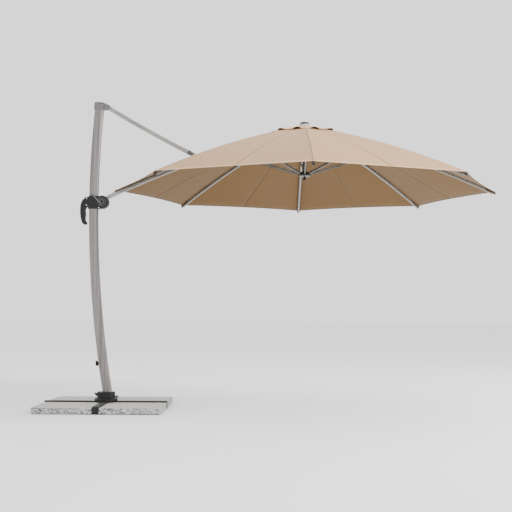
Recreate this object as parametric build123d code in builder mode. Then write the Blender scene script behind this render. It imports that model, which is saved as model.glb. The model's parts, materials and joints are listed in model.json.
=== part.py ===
from build123d import *
import os
from math import asin, atan2, cos, degrees, hypot, radians, sin, sqrt

# Cantilever parasol. Origin: centre of the base underside, on the turning axis of the mast.
# +X runs along the arm toward the canopy, +Z is up. Lengths are millimetres, angles degrees.

os.makedirs("parts", exist_ok=True)

# ---------------------------------------------------------------- driving dimensions
slab_side = 498
slab_thick = 50
slab_gap = 2
bar_width = 50
bar_height = 60
bar_wall = 3
flange_width = 150
flange_thick = 4
cap_thick, cap_corner, spigot_length = 3, 4, 18
foot_plate_side = 180
foot_plate_thick = 6
foot_bolt_circle = 80
spindle_radius, spindle_wall = 22, 5
housing_radius = 99
hub_radius, hub_lobes = 77, 8
latch_x = 90
hub_bottom = 89
hub_top = 141

mast_depth = 77
mast_breadth = 60
mast_wall = 3
mast_corner = 14
mast_arc_x, mast_arc_z = 9142, 1752
mast_arc_radius = 9272
mast_bottom_z, mast_top_z = 130.5, 2634

strut_pivot_x, strut_pivot_z = -15, 2612
elbow_x, elbow_z = 743, 2194
slider_pivot_x, slider_pivot_z = -55, 1779
strut_depth, strut_breadth = 34, 30
strut_sag = 10
arm_depth, arm_breadth = 34, 32
tube_wall = 2.5

canopy_x = 1702.8
canopy_radius = 1650
canopy_arc_r, canopy_arc_z = -2361.3, -6864.3
canopy_arc_radius = 9618.6
rib_count = 8
rib_depth, rib_breadth = 20, 16
rib_wall = 2.2
rib_drop = 14.5
arm_drop = 23.5
fabric_thick = 2
vent_opening_radius = 150
vent_radius = 318
vent_lift = 7
hem_scallop = 28
crown_pivot_radius = 46
brace_length = 700
brace_depth, brace_breadth, brace_cheek_depth = 20, 9, 17
crown_pin_length, runner_pin_length = 28, 22
pin_radius = 2.5
rivet_radius = 3
head_pin_radius, elbow_pin_radius, slider_pin_radius = 6, 5, 8
pedal_pin_radius, trigger_pin_radius = 3, 2.5
lock_stem_radius, lever_stud_radius = 5, 5
bolt_radius, bolt_hole_radius, bolt_reach, bolt_head_height = 6, 6.2, 12, 7.5
plug_gap = 0.2
running_gap = 0.08
through = 200  # long enough to cut through any part

half_sector = 180 / rib_count
directions = {"R": 0, "BR": 45, "B": 90, "BL": 135, "L": 180, "FL": 225, "F": 270, "FR": 315}


# ---------------------------------------------------------------- worked-out places
def canopy_z(r, drop=0):
    """Height of the canopy arc, lowered by drop, at distance r from the canopy axis."""
    return canopy_arc_z + sqrt((canopy_arc_radius - drop) ** 2 - (r - canopy_arc_r) ** 2)


def mast_x(z, inset=0):
    """X of the mast's centre arc, moved inset toward its arc centre, at height z."""
    return mast_arc_x - sqrt((mast_arc_radius - inset) ** 2 - (z - mast_arc_z) ** 2)


rib_arc = canopy_arc_radius - rib_drop
arm_arc = canopy_arc_radius - arm_drop
crown_pivot_z = canopy_z(crown_pivot_radius, rib_drop)
# The brace joint lies on the rib's centre arc, one brace length from the rib's pivot.
joint_chord_turn = 2 * degrees(asin(brace_length / (2 * rib_arc)))
pivot_turn = degrees(asin((crown_pivot_radius - canopy_arc_r) / rib_arc))
joint_turn = pivot_turn + joint_chord_turn
joint_r = canopy_arc_r + rib_arc * sin(radians(joint_turn))
joint_z = canopy_arc_z + rib_arc * cos(radians(joint_turn))
runner_pivot_z = crown_pivot_z - 2 * (crown_pivot_z - joint_z)
print("crown pivot z", crown_pivot_z, "brace joint", joint_r, joint_z, "runner z", runner_pivot_z)

along_y = (0, 1, 0)


def mast_section_plane(z):
    """Plane square to the mast's arc at height z, its x axis away from the arc centre."""
    turn = asin((z - mast_arc_z) / mast_arc_radius)
    outward = (-cos(turn), 0, sin(turn))
    upward = (sin(turn), 0, cos(turn))
    return Plane(origin=(mast_x(z), 0, z), x_dir=outward, z_dir=upward)


def canopy_section_plane(r, radius):
    """Plane square to the canopy arc of that radius at distance r, its x axis outward."""
    turn = asin((r - canopy_arc_r) / radius)
    outward = (sin(turn), 0, cos(turn))
    tangent = (cos(turn), 0, -sin(turn))
    origin = (r, 0, canopy_arc_z + radius * cos(turn))
    return Plane(origin=origin, x_dir=outward, z_dir=tangent)


def canopy_turn(r, radius):
    return degrees(asin((r - canopy_arc_r) / radius))


mast_axis = Axis((mast_arc_x, 0, mast_arc_z), along_y)
canopy_axis = Axis((canopy_arc_r, 0, canopy_arc_z), along_y)
arm_axis = Axis((canopy_x - canopy_arc_r, 0, canopy_arc_z), along_y)


def mast_turn(z):
    return degrees(asin((z - mast_arc_z) / mast_arc_radius))


# ================================================================ base
with BuildPart() as cross_bar_x:
    half_span = slab_side + slab_gap + bar_width / 2
    with BuildSketch(Plane.YZ.offset(-half_span)) as bar_profile:
        with Locations((0, flange_thick + bar_height / 2)):
            Rectangle(bar_width, bar_height)
            Rectangle(bar_width - 2 * bar_wall, bar_height - 2 * bar_wall, mode=Mode.SUBTRACT)
        with Locations((0, flange_thick / 2)):
            Rectangle(flange_width, flange_thick)
    extrude(amount=2 * half_span)
    with Locations((foot_bolt_circle, 0, bar_height), (-foot_bolt_circle, 0, bar_height)):
        Cylinder(bolt_hole_radius, 2 * bolt_reach, mode=Mode.SUBTRACT)
cross_bar_x.part.label = "cross_bar_x"
export_step(cross_bar_x.part, "parts/cross_bar_x.step")

with BuildPart() as cross_bar_y:
    for side in (-1, 1):
        with BuildSketch(Plane.XZ.offset(-side * bar_width / 2)) as arm_tube:
            with Locations((0, flange_thick + bar_height / 2)):
                Rectangle(bar_width, bar_height)
                Rectangle(bar_width - 2 * bar_wall, bar_height - 2 * bar_wall, mode=Mode.SUBTRACT)
        extrude(amount=-side * (half_span - bar_width / 2))
        with BuildSketch(Plane.XZ.offset(-side * flange_width / 2)) as arm_flange:
            with Locations((0, flange_thick / 2)):
                Rectangle(flange_width, flange_thick)
        extrude(amount=-side * (half_span - flange_width / 2))
        with Locations((0, side * foot_bolt_circle, bar_height)):
            Cylinder(bolt_hole_radius, 2 * bolt_reach, mode=Mode.SUBTRACT)
cross_bar_y.part.label = "cross_bar_y"
export_step(cross_bar_y.part, "parts/cross_bar_y.step")

with BuildPart() as cross_end_caps:
    spigot_width = bar_width - 2 * bar_wall
    spigot_height = bar_height - 2 * bar_wall
    cap_z = flange_thick + bar_height / 2
    for azimuth in (0, 90, 180, 270):
        outward = Vector(1, 0, 0).rotate(Axis.Z, azimuth)
        end_centre = outward * half_span + Vector(0, 0, cap_z)
        end_plane = Plane(origin=end_centre, x_dir=(0, 0, 1), z_dir=outward)
        with BuildSketch(end_plane) as cap_face:
            RectangleRounded(bar_height, bar_width, cap_corner)
        extrude(amount=cap_thick)
        with BuildSketch(end_plane) as cap_spigot:
            Rectangle(spigot_height, spigot_width)
        extrude(amount=-spigot_length)
cross_end_caps.part.label = "cross_end_caps"
export_step(cross_end_caps.part, "parts/cross_end_caps.step")

slab_centre = bar_width / 2 + slab_gap + slab_side / 2
slab_places = {
    "slab_front_left": (-slab_centre, -slab_centre),
    "slab_front_right": (slab_centre, -slab_centre),
    "slab_back_left": (-slab_centre, slab_centre),
    "slab_back_right": (slab_centre, slab_centre),
}
for slab_name, (slab_x, slab_y) in slab_places.items():
    with BuildPart() as slab:
        with Locations((slab_x, slab_y, flange_thick + slab_thick / 2)):
            Box(slab_side, slab_side, slab_thick)
        chamfer(slab.faces().sort_by(Axis.Z)[-1].edges(), length=2)
    slab.part.label = slab_name
    export_step(slab.part, f"parts/{slab_name}.step")

bar_top = flange_thick + bar_height
plate_top = bar_top + foot_plate_thick
spindle_top = 122
with BuildPart() as foot_plate:
    with BuildSketch(Plane.XY.offset(bar_top)) as plate_outline:
        RectangleRounded(foot_plate_side - 60, foot_plate_side - 60, 12)
        Rectangle(foot_plate_side, bar_width)
        Rectangle(bar_width, foot_plate_side)
    extrude(amount=foot_plate_thick)
    with PolarLocations(foot_bolt_circle, 4):
        Hole(radius=bolt_hole_radius)
    with BuildSketch(Plane.XY.offset(plate_top)) as spindle_ring:
        Circle(spindle_radius)
        Circle(spindle_radius - spindle_wall, mode=Mode.SUBTRACT)
    extrude(amount=spindle_top - plate_top)
    chamfer(foot_plate.edges().filter_by(GeomType.CIRCLE).group_by(Axis.Z)[-1], length=1)
foot_plate.part.label = "foot_plate"
export_step(foot_plate.part, "parts/foot_plate.step")

with BuildPart() as foot_bolts:
    with BuildSketch(Plane.XY.offset(bar_top - bar_wall - bolt_reach)) as bolt_shanks:
        with PolarLocations(foot_bolt_circle, 4):
            Circle(bolt_radius)
    extrude(amount=plate_top - bar_top + bar_wall + bolt_reach)
    with BuildSketch(Plane.XY.offset(plate_top)) as bolt_heads:
        with PolarLocations(foot_bolt_circle, 4):
            RegularPolygon(10.5, 6)
    extrude(amount=bolt_head_height)
foot_bolts.part.label = "foot_bolts"
export_step(foot_bolts.part, "parts/foot_bolts.step")

housing_top = hub_bottom - 1
with BuildPart() as foot_housing:
    with BuildSketch(Plane.XZ) as housing_wall:
        with BuildLine():
            Polyline(
                (housing_radius, bar_top), (housing_radius, housing_top - 6),
                (housing_radius - 9, housing_top), (46, housing_top), (46, housing_top - 3),
                (housing_radius - 10, housing_top - 3), (housing_radius - 3, housing_top - 8),
                (housing_radius - 3, bar_top), close=True,
            )
        make_face()
    revolve(axis=Axis.Z)
    # Index latch that stands on the collar beside the turning hub.
    with Locations((latch_x, 0, housing_top + 9)):
        Box(4, 22, 20)
    with Locations((latch_x - 5, 0, housing_top + 17)):
        Box(11, 14, 4)
foot_housing.part.label = "foot_housing"
export_step(foot_housing.part, "parts/foot_housing.step")


# ================================================================ mast
def mast_tube_profile(grow=0):
    RectangleRounded(mast_depth + 2 * grow, mast_breadth + 2 * grow, mast_corner + grow)


groove_width, groove_depth, groove_spacing = 5, 1.6, 22
lock_z = 391
lock_plane = mast_section_plane(lock_z)
lock_outward = lock_plane.x_dir
with BuildPart() as mast:
    with BuildSketch(mast_section_plane(mast_bottom_z)) as mast_profile:
        mast_tube_profile()
        with Locations((0, mast_breadth / 2), (0, -mast_breadth / 2)):
            with GridLocations(groove_spacing, 0, 2, 1):
                Rectangle(groove_width, 2 * groove_depth, mode=Mode.SUBTRACT)
        with Locations((mast_depth / 2, 0), (-mast_depth / 2, 0)):
            with GridLocations(0, groove_spacing, 1, 2):
                Rectangle(2 * groove_depth, groove_width, mode=Mode.SUBTRACT)
        RectangleRounded(mast_depth - 2 * mast_wall, mast_breadth - 2 * mast_wall,
                         mast_corner - mast_wall, mode=Mode.SUBTRACT)
    revolve(axis=mast_axis, revolution_arc=mast_turn(mast_top_z) - mast_turn(mast_bottom_z))
    knob_hole = Plane(origin=lock_plane.origin + lock_outward * 20, x_dir=(0, 1, 0), z_dir=lock_outward)
    with BuildSketch(knob_hole):
        Circle(lock_stem_radius + running_gap)
    extrude(amount=30, mode=Mode.SUBTRACT)
mast.part.label = "mast"
export_step(mast.part, "parts/mast.step")

insert_top_z = 200
with BuildPart() as mast_foot_insert:
    with BuildSketch(mast_section_plane(mast_bottom_z)) as insert_profile:
        RectangleRounded(mast_depth - 2 * mast_wall - plug_gap, mast_breadth - 2 * mast_wall - plug_gap,
                         mast_corner - mast_wall)
    revolve(axis=mast_axis, revolution_arc=mast_turn(insert_top_z) - mast_turn(mast_bottom_z))
mast_foot_insert.part.label = "mast_foot_insert"
export_step(mast_foot_insert.part, "parts/mast_foot_insert.step")

pedal_x, pedal_z = -82, 118
lug_inner, lug_outer = 16.4, 22
with BuildPart() as turn_hub:
    with BuildSketch(Plane.XY.offset(hub_bottom)) as hub_outline:
        Circle(hub_radius)
        # Scallops give the hub its lobed wall.
        with PolarLocations(hub_radius + 5, hub_lobes, start_angle=180 / hub_lobes):
            Circle(9, mode=Mode.SUBTRACT)
    extrude(amount=hub_top - hub_bottom)
    with BuildSketch(Plane.XY.offset(hub_bottom)) as hub_base_ring:
        Circle(hub_radius)
    extrude(amount=6)
    chamfer(turn_hub.faces().sort_by(Axis.Z)[-1].edges(), length=2.5)
    for side in (-1, 1):
        with BuildSketch(Plane.XZ.offset(-side * (lug_inner + lug_outer) / 2)) as lug:
            with BuildLine():
                Polyline((-60, 104), (pedal_x, 107), (pedal_x - 7, 112), (pedal_x - 7, 122),
                         (pedal_x, 128), (-60, 132), close=True)
            make_face()
        extrude(amount=(lug_outer - lug_inner) / 2, both=True)
    with Locations((pedal_x + 8, 0, pedal_z + 1)):
        Box(30, 2 * lug_inner, 26, mode=Mode.SUBTRACT)
    with Locations((pedal_x, 0, pedal_z)):
        Cylinder(pedal_pin_radius, 2 * lug_outer, rotation=(90, 0, 0))
    with BuildSketch(Plane.XY.offset(hub_bottom)) as bearing_bore:
        Circle(spindle_radius + running_gap)
    extrude(amount=spindle_top + 1 - hub_bottom, mode=Mode.SUBTRACT)
    with BuildSketch(mast_section_plane(mast_bottom_z)) as socket_profile:
        mast_tube_profile()
    revolve(axis=mast_axis, revolution_arc=mast_turn(insert_top_z) - mast_turn(mast_bottom_z),
            mode=Mode.SUBTRACT)
turn_hub.part.label = "turn_hub"
export_step(turn_hub.part, "parts/turn_hub.step")

with BuildPart() as pedal:
    with BuildSketch(Plane.XZ) as pedal_side:
        with BuildLine():
            Polyline((pedal_x + 7, pedal_z - 4), (pedal_x + 7, pedal_z + 5), (pedal_x, pedal_z + 9),
                     (pedal_x - 16, pedal_z + 15), (pedal_x - 20, pedal_z + 12),
                     (pedal_x - 8, pedal_z - 4), close=True)
        make_face()
    extrude(amount=16, both=True)
    with Locations((pedal_x, 0, pedal_z)):
        Cylinder(pedal_pin_radius + running_gap, through, rotation=(90, 0, 0), mode=Mode.SUBTRACT)
pedal.part.label = "pedal"
export_step(pedal.part, "parts/pedal.step")

head_sleeve_half, nose_half, nose_slot_half = 34, 26, 15.5
head_socket_z = 2500
with BuildPart() as mast_head:
    with BuildSketch(Plane.XZ) as head_side:
        with BuildLine():
            Polyline((-135, 2594), (-132, 2647), (-124, 2655), (-76, 2655), (-49, 2649), (-49, 2591),
                     close=True)
        make_face()
    extrude(amount=head_sleeve_half, both=True)
    with BuildSketch(Plane.XZ) as nose_side:
        with BuildLine():
            Polyline((-60, 2651), (-46, 2648), (-8, 2633), (3, 2624), (3, 2606), (-6, 2594),
                     (-60, 2590), close=True)
        make_face()
    extrude(amount=nose_half, both=True)
    with BuildSketch(mast_section_plane(head_socket_z)) as head_socket:
        mast_tube_profile()
    revolve(axis=mast_axis, revolution_arc=mast_turn(mast_top_z) - mast_turn(head_socket_z),
            mode=Mode.SUBTRACT)
    with BuildSketch(Plane.XZ) as nose_slot:
        with BuildLine():
            Polyline((-38, 2580), (-38, 2626), (-28, 2633), (-10, 2633), (20, 2619), (20, 2580),
                     close=True)
        make_face()
    extrude(amount=nose_slot_half, both=True, mode=Mode.SUBTRACT)
    with Locations((strut_pivot_x, 0, strut_pivot_z)):
        Cylinder(head_pin_radius, through, rotation=(90, 0, 0), mode=Mode.SUBTRACT)
mast_head.part.label = "mast_head"
export_step(mast_head.part, "parts/mast_head.step")

with BuildPart() as head_pin:
    with Locations((strut_pivot_x, 0, strut_pivot_z)):
        Cylinder(head_pin_radius, 2 * nose_half, rotation=(90, 0, 0))
    for side in (-1, 1):
        with Locations((strut_pivot_x, side * (nose_half + 1.5), strut_pivot_z)):
            Cylinder(1.5 * head_pin_radius, 3, rotation=(90, 0, 0))
head_pin.part.label = "head_pin"
export_step(head_pin.part, "parts/head_pin.step")

with BuildPart() as lock_knob:
    half = mast_depth / 2
    stem_plane = Plane(origin=lock_plane.origin + lock_outward * (half - 8), x_dir=(0, 1, 0),
                       z_dir=lock_outward)
    with BuildSketch(stem_plane):
        Circle(lock_stem_radius)
    extrude(amount=18)
    cap_plane = Plane(origin=lock_plane.origin + lock_outward * (half + 2), x_dir=(0, 1, 0),
                      z_dir=lock_outward)
    with BuildSketch(cap_plane):
        Circle(12)
    extrude(amount=6)
    with BuildSketch(cap_plane.offset(6)) as knob_head:
        Circle(23)
        with PolarLocations(25, 10):
            Circle(5, mode=Mode.SUBTRACT)
    extrude(amount=17)
    fillet(lock_knob.faces().sort_by(Axis(cap_plane.origin, lock_outward))[-1].edges(), radius=2.5)
lock_knob.part.label = "lock_knob"
export_step(lock_knob.part, "parts/lock_knob.step")

# ================================================================ strut
strut_span = hypot(elbow_x - strut_pivot_x, elbow_z - strut_pivot_z)
strut_arc_radius = (strut_span ** 2 / 4 + strut_sag ** 2) / (2 * strut_sag)
strut_slope = atan2(strut_pivot_z - elbow_z, elbow_x - strut_pivot_x)
strut_mid = Vector((strut_pivot_x + elbow_x) / 2, 0, (strut_pivot_z + elbow_z) / 2)
strut_up = Vector(sin(strut_slope), 0, cos(strut_slope))
strut_arc_centre = strut_mid + strut_up * (strut_arc_radius - strut_sag)
strut_axis = Axis(strut_arc_centre, along_y)
strut_pivot = Vector(strut_pivot_x, 0, strut_pivot_z)
elbow = Vector(elbow_x, 0, elbow_z)


pivot_radius_vector = strut_pivot - strut_arc_centre


def strut_plane(from_pivot):
    """Plane square to the strut's arc, from_pivot along it from its upper pivot."""
    turn = -degrees(from_pivot / strut_arc_radius)
    outward = pivot_radius_vector.rotate(Axis.Y, turn)
    along = outward.cross(Vector(0, 1, 0))
    return Plane(origin=strut_arc_centre + outward, x_dir=outward, z_dir=along)


strut_start, strut_end = 27, strut_span - 62
eye_radius = 16
with BuildPart() as strut_tube:
    with BuildSketch(strut_plane(strut_start)) as strut_profile:
        RectangleRounded(strut_depth, strut_breadth, 6)
        with Locations((0, strut_breadth / 2), (0, -strut_breadth / 2)):
            Rectangle(4, 2.4, mode=Mode.SUBTRACT)
        RectangleRounded(strut_depth - 2 * tube_wall, strut_breadth - 2 * tube_wall, 3.5,
                         mode=Mode.SUBTRACT)
    revolve(axis=strut_axis, revolution_arc=-degrees((strut_end - strut_start) / strut_arc_radius))
# The eye that closes the upper end of the tube turns on the head pin.
with BuildPart() as strut_eye:
    eye_plane = Plane(origin=strut_pivot, x_dir=strut_plane(0).z_dir, z_dir=(0, -1, 0))
    with BuildSketch(eye_plane) as eye_side:
        Circle(eye_radius)
        with Locations((strut_start / 2, 0)):
            Rectangle(strut_start - 0.4, 2 * eye_radius - 4)
    extrude(amount=strut_breadth / 2, both=True)
    with BuildSketch(strut_plane(strut_start - 1)) as eye_plug:
        RectangleRounded(strut_depth - 2 * tube_wall - 3 * plug_gap,
                         strut_breadth - 2 * tube_wall - 2 * plug_gap, 3)
    extrude(amount=36)
    with Locations(strut_pivot):
        Cylinder(head_pin_radius + running_gap, through, rotation=(90, 0, 0), mode=Mode.SUBTRACT)
with BuildPart() as strut:
    add(strut_tube.part)
    add(strut_eye.part)
strut.part.label = "strut"
export_step(strut.part, "parts/strut.step")

lug_half = 9.7
fork_inner, fork_outer, fork_eye = 10, 17, 15
fork_root = strut_plane(strut_end)
with BuildPart() as strut_fork:
    with BuildSketch(strut_plane(strut_end - 45)) as fork_plug:
        RectangleRounded(strut_depth - 2 * tube_wall - plug_gap,
                         strut_breadth - 2 * tube_wall - plug_gap, 3.5)
    revolve(axis=strut_axis, revolution_arc=-degrees(46 / strut_arc_radius))
    with BuildSketch(fork_root) as fork_collar:
        RectangleRounded(strut_depth + 4, 2 * fork_outer, 6)
    extrude(amount=24)
    with BuildSketch(fork_root.offset(20)) as fork_cheeks:
        for side in (-1, 1):
            with Locations((0, side * (fork_inner + fork_outer) / 2)):
                Rectangle(2 * fork_eye, fork_outer - fork_inner)
    extrude(amount=42)
    for side in (-1, 1):
        with Locations(elbow + Vector(0, side * (fork_inner + fork_outer) / 2, 0)):
            Cylinder(fork_eye, fork_outer - fork_inner, rotation=(90, 0, 0))
    with Locations(elbow):
        Cylinder(elbow_pin_radius, through, rotation=(90, 0, 0), mode=Mode.SUBTRACT)
strut_fork.part.label = "strut_fork"
export_step(strut_fork.part, "parts/strut_fork.step")

with BuildPart() as strut_pin:
    with Locations(elbow):
        Cylinder(elbow_pin_radius, 2 * fork_outer, rotation=(90, 0, 0))
    for side in (-1, 1):
        with Locations(elbow + Vector(0, side * (fork_outer + 1.25), 0)):
            Cylinder(8, 2.5, rotation=(90, 0, 0))
strut_pin.part.label = "strut_pin"
export_step(strut_pin.part, "parts/strut_pin.step")


# ================================================================ arm
def arm_plane(x, radius=arm_arc):
    """Plane square to the arm's arc at x, its x axis away from the arc centre."""
    centre_x = canopy_x - canopy_arc_r
    turn = asin((centre_x - x) / radius)
    outward = (-sin(turn), 0, cos(turn))
    toward_crown = (cos(turn), 0, sin(turn))
    origin = (x, 0, canopy_arc_z + radius * cos(turn))
    return Plane(origin=origin, x_dir=outward, z_dir=toward_crown)


def arm_turn(x_from, x_to):
    centre_x = canopy_x - canopy_arc_r
    return degrees(asin((centre_x - x_from) / arm_arc) - asin((centre_x - x_to) / arm_arc))


arm_outer_x, arm_inner_x = 8, canopy_x - 128
bracket_length, slot_length = 96, 62
crown_pivot_left = Vector(canopy_x - crown_pivot_radius, 0, crown_pivot_z)
joint_left = Vector(canopy_x - joint_r, 0, joint_z)
slider_pivot = Vector(slider_pivot_x, 0, slider_pivot_z)
bracket_plane = arm_plane(elbow_x)
with BuildPart() as arm:
    with BuildSketch(arm_plane(arm_outer_x)) as arm_profile:
        RectangleRounded(arm_depth, arm_breadth, 7)
        with Locations((0, arm_breadth / 2), (0, -arm_breadth / 2)):
            with GridLocations(12, 0, 2, 1):
                Rectangle(3, 2.4, mode=Mode.SUBTRACT)
        RectangleRounded(arm_depth - 2 * tube_wall, arm_breadth - 2 * tube_wall, 4.5,
                         mode=Mode.SUBTRACT)
    revolve(axis=arm_axis, revolution_arc=arm_turn(arm_outer_x, arm_inner_x))
    # Slot in the top wall that the elbow bracket stands through.
    with BuildSketch(Plane(origin=bracket_plane.origin, x_dir=bracket_plane.z_dir,
                           z_dir=bracket_plane.x_dir)):
        Rectangle(slot_length, 2 * lug_half + 0.4)
    extrude(amount=arm_depth, mode=Mode.SUBTRACT)
    with Locations(joint_left):
        Cylinder(rivet_radius + running_gap, 60, rotation=(90, 0, 0), mode=Mode.SUBTRACT)
arm.part.label = "arm"
export_step(arm.part, "parts/arm.step")

with BuildPart() as arm_bracket:
    half_length = bracket_length / 2
    with BuildSketch(bracket_plane.offset(-half_length)) as bracket_root:
        RectangleRounded(arm_depth - 2 * tube_wall - 3 * plug_gap,
                         arm_breadth - 2 * tube_wall - 2 * plug_gap, 4)
    extrude(amount=bracket_length)
    side_plane = Plane(origin=bracket_plane.origin, x_dir=bracket_plane.z_dir, z_dir=(0, -1, 0))
    elbow_local = side_plane.to_local_coords(elbow)
    with BuildSketch(side_plane) as lug_side:
        with BuildLine():
            Polyline((-slot_length / 2 + 1, 8), (slot_length / 2 - 1, 8),
                     (slot_length / 2 - 1, arm_depth / 2 + 2),
                     (elbow_local.X + 13.5, elbow_local.Y - 4), (elbow_local.X, elbow_local.Y),
                     (elbow_local.X - 13.5, elbow_local.Y - 4), (-slot_length / 2 + 1, arm_depth / 2 + 2),
                     close=True)
        make_face()
        with Locations((elbow_local.X, elbow_local.Y)):
            Circle(14)
    extrude(amount=lug_half, both=True)
    with Locations(elbow):
        Cylinder(elbow_pin_radius + running_gap, through, rotation=(90, 0, 0), mode=Mode.SUBTRACT)
arm_bracket.part.label = "arm_bracket"
export_step(arm_bracket.part, "parts/arm_bracket.step")

root_eye, root_half = 23, 15.5
with BuildPart() as arm_root:
    root_plane = arm_plane(arm_outer_x)
    with BuildSketch(root_plane) as root_plug:
        RectangleRounded(arm_depth - 2 * tube_wall - 4 * plug_gap,
                         arm_breadth - 2 * tube_wall - 2 * plug_gap, 4)
    extrude(amount=60)
    with BuildSketch(root_plane) as root_collar:
        RectangleRounded(arm_depth, 2 * root_half, 6)
    extrude(amount=-12)
    with BuildSketch(Plane.XZ) as root_side:
        with BuildLine():
            collar_back = root_plane.offset(-8)
            top = collar_back.origin + root_plane.x_dir * (arm_depth / 2 - 2)
            low = collar_back.origin - root_plane.x_dir * (arm_depth / 2 - 2)
            Polyline((top.X, top.Z), (slider_pivot.X - 4, slider_pivot.Z + root_eye - 1),
                     (slider_pivot.X, slider_pivot.Z), (slider_pivot.X + 12, slider_pivot.Z - 18),
                     (low.X, low.Z), close=True)
        make_face()
        with Locations((slider_pivot.X, slider_pivot.Z)):
            Circle(root_eye)
    extrude(amount=root_half, both=True)
    with Locations(slider_pivot):
        Cylinder(slider_pin_radius + running_gap, through, rotation=(90, 0, 0), mode=Mode.SUBTRACT)
arm_root.part.label = "arm_root"
export_step(arm_root.part, "parts/arm_root.step")

tip_tongue_half = rib_breadth / 2
with BuildPart() as arm_tip:
    tip_plane = arm_plane(arm_inner_x)
    with BuildSketch(tip_plane.offset(-50)) as tip_plug:
        RectangleRounded(arm_depth - 2 * tube_wall - 3 * plug_gap,
                         arm_breadth - 2 * tube_wall - 2 * plug_gap, 4)
    extrude(amount=51)
    with BuildSketch(tip_plane) as tip_collar:
        RectangleRounded(arm_depth, arm_breadth, 7)
    extrude(amount=12)
    with BuildSketch(Plane.XZ) as tongue_side:
        with BuildLine():
            collar_front = tip_plane.offset(8)
            top = collar_front.origin + tip_plane.x_dir * (arm_depth / 2 - 3)
            low = collar_front.origin - tip_plane.x_dir * (arm_depth / 2 - 3)
            pivot = crown_pivot_left
            Polyline((top.X, top.Z), (pivot.X - 3, pivot.Z + 9.4), (pivot.X, pivot.Z),
                     (pivot.X - 3, pivot.Z - 9.4), (low.X, low.Z), close=True)
        make_face()
        with Locations((crown_pivot_left.X, crown_pivot_left.Z)):
            Circle(10)
    extrude(amount=tip_tongue_half, both=True)
    with Locations(crown_pivot_left):
        Cylinder(pin_radius + running_gap, 60, rotation=(90, 0, 0), mode=Mode.SUBTRACT)
arm_tip.part.label = "arm_tip"
export_step(arm_tip.part, "parts/arm_tip.step")

# ================================================================ slider
sleeve_bottom_z, sleeve_top_z = 1720, 1822
sleeve_gap_outer, sleeve_gap_inner, sleeve_gap_side = 4.4, 2.2, 1.5
sleeve_wall = 4.6
cheek_inner, cheek_outer, cover_thick = 16.2, 36.1, 5
hinge_radius = 56
ear_left, ear_middle, ear_thick = -200, 20.7, 7
screw_radius = 2.5
screw_places = [(-190, 1811), (-190, 1752), (-81, 1728)]
screw_reach = [ear_middle + ear_thick / 2, ear_middle + ear_thick / 2, cheek_outer]
lever_x, lever_z = -59, 1761
mast_mid = mast_x(slider_pivot_z)
sleeve_left = mast_mid - mast_depth / 2 - sleeve_gap_outer
sleeve_right = mast_mid + mast_depth / 2 + sleeve_gap_inner
sleeve_half = mast_breadth / 2 + sleeve_gap_side
with BuildPart() as slider_body:
    with BuildSketch(Plane.XY.offset(sleeve_bottom_z)) as sleeve_outline:
        with Locations(((sleeve_left + sleeve_right) / 2, 0)):
            RectangleRounded(sleeve_right - sleeve_left + 2 * sleeve_wall,
                             2 * (sleeve_half + sleeve_wall), mast_corner + sleeve_wall)
    extrude(amount=sleeve_top_z - sleeve_bottom_z)
    with Locations(slider_pivot):
        Cylinder(hinge_radius, 2 * (sleeve_half + sleeve_wall), rotation=(90, 0, 0))
    with BuildSketch(Plane.XZ) as hinge_back:
        with BuildLine():
            Polyline((sleeve_right, sleeve_bottom_z + 2), (slider_pivot_x, slider_pivot_z - hinge_radius),
                     (slider_pivot_x, slider_pivot_z + hinge_radius - 4), (sleeve_right, sleeve_top_z),
                     close=True)
        make_face()
    extrude(amount=sleeve_half + sleeve_wall, both=True)
    # Gap between the cheeks that the arm's root swings in.
    with Locations((slider_pivot_x + 38, 0, slider_pivot_z)):
        Box(130, 2 * cheek_inner, 160, mode=Mode.SUBTRACT)
    # Wall between the bore and the cheek gap.
    with Locations((sleeve_right + sleeve_wall / 2, 0, (sleeve_bottom_z + sleeve_top_z) / 2)):
        Box(sleeve_wall, 2 * (cheek_inner + 4), sleeve_top_z - sleeve_bottom_z)
    # Flared collar round the top of the bore.
    with BuildSketch(Plane.XY.offset(sleeve_top_z)) as collar_outline:
        with Locations(((sleeve_left + sleeve_right) / 2, 0)):
            RectangleRounded(sleeve_right - sleeve_left + 7, 2 * sleeve_half + 7, mast_corner + 3.5)
            RectangleRounded(sleeve_right - sleeve_left, 2 * sleeve_half, mast_corner,
                             mode=Mode.SUBTRACT)
    extrude(amount=10)
    with Locations(slider_pivot):
        Cylinder(slider_pin_radius, through, rotation=(90, 0, 0), mode=Mode.SUBTRACT)
    # Ears that hold the root of the handle between them.
    for side in (-1, 1):
        with Locations((ear_left / 2 + sleeve_left / 2 - sleeve_wall / 2, side * ear_middle, 1781)):
            Box(sleeve_left - sleeve_wall - ear_left + 12, ear_thick, 84)
    with BuildSketch(Plane.XY.offset(sleeve_bottom_z - 20)) as bore_profile:
        with Locations(((sleeve_left + sleeve_right) / 2, 0)):
            RectangleRounded(sleeve_right - sleeve_left, 2 * sleeve_half, mast_corner)
    extrude(amount=through, mode=Mode.SUBTRACT)
    for screw_x, screw_z in screw_places:
        with Locations((screw_x, 0, screw_z)):
            Cylinder(screw_radius, through, rotation=(90, 0, 0), mode=Mode.SUBTRACT)
    # Round covers over the ends of the hinge pin.
    for side in (-1, 1):
        with Locations((slider_pivot_x, side * (cheek_outer + cover_thick / 2), slider_pivot_z)):
            Cylinder(hinge_radius - 6, cover_thick, rotation=(90, 0, 0))
    # Stud that the clamp lever turns on.
    with Locations((lever_x, -(cheek_outer + cover_thick + 6), lever_z)):
        Cylinder(lever_stud_radius, 12, rotation=(90, 0, 0))
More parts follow.
